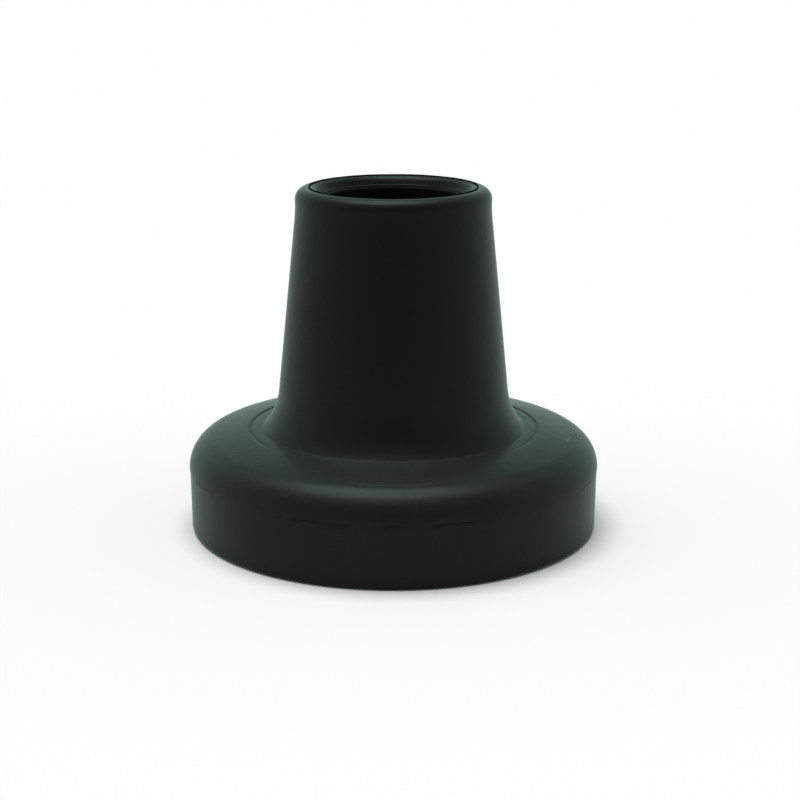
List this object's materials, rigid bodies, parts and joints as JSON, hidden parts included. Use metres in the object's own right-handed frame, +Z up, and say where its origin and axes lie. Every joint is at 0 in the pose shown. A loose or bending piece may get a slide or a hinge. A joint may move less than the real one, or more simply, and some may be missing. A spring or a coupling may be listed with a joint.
{
  "type": "rubber cane tip",
  "caption": "Wide-footed moulded rubber tip with a tapered neck and a round socket that presses onto the end of a walking cane.",
  "frame": {"origin": "centre of the sole, on the surface that the tip stands on", "axes": "+Z up along the shaft's axis; the moulding is round, so +X and +Y are any two square directions in the sole"},
  "size_m": [0.06, 0.06, 0.05],
  "materials": {
    "rubber": "satin moulded, near black with a faint green cast"
  },
  "bodies": {
    "root": {"rubber_tip": "rubber"}
  },
  "joints": []
}
